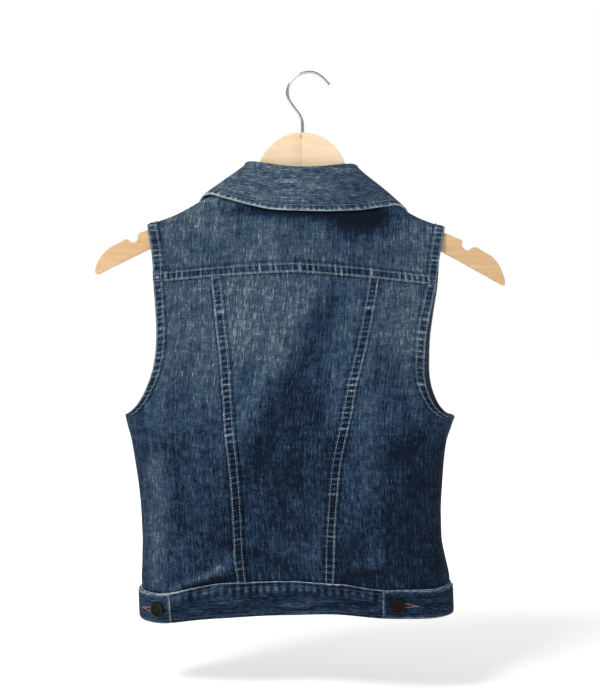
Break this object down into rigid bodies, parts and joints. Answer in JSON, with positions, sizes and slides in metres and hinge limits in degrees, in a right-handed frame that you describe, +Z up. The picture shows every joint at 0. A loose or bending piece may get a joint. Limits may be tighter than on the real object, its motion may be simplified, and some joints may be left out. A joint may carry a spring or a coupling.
{
  "type": "denim vest on a wooden hanger",
  "caption": "Sleeveless waist-length denim vest with a turned-down collar, yoke, princess seams and buttoned waist tabs, hung on a flat wooden hanger.",
  "frame": {"origin": "inside top of the hook's bend, where a rail carries the hanger", "axes": "+Z up, +X to the right seen from the vest's back, +Y towards the wearer's front; the back faces -Y"},
  "size_m": [0.4446, 0.1344, 0.6005],
  "materials": {
    "denim": "washed cotton twill with worn edges",
    "wood": "satin clear lacquer",
    "hook": "polished wire",
    "button": "dark antique plate"
  },
  "bodies": {
    "root": {"hanger_wood": "wood", "hanger_hook": "hook", "back_yoke": "denim", "centre_back": "denim", "side_back_left": "denim", "side_back_right": "denim", "front_left": "denim", "front_right": "denim", "collar": "denim", "waistband_back": "denim", "waistband_front_left": "denim", "waistband_front_right": "denim", "tab_left": "denim", "tab_right": "denim", "tab_button_left": "button", "tab_button_right": "button", "front_button_1": "button", "front_button_2": "button", "front_button_3": "button", "front_button_4": "button", "front_button_5": "button", "waistband_button": "button"}
  },
  "joints": []
}
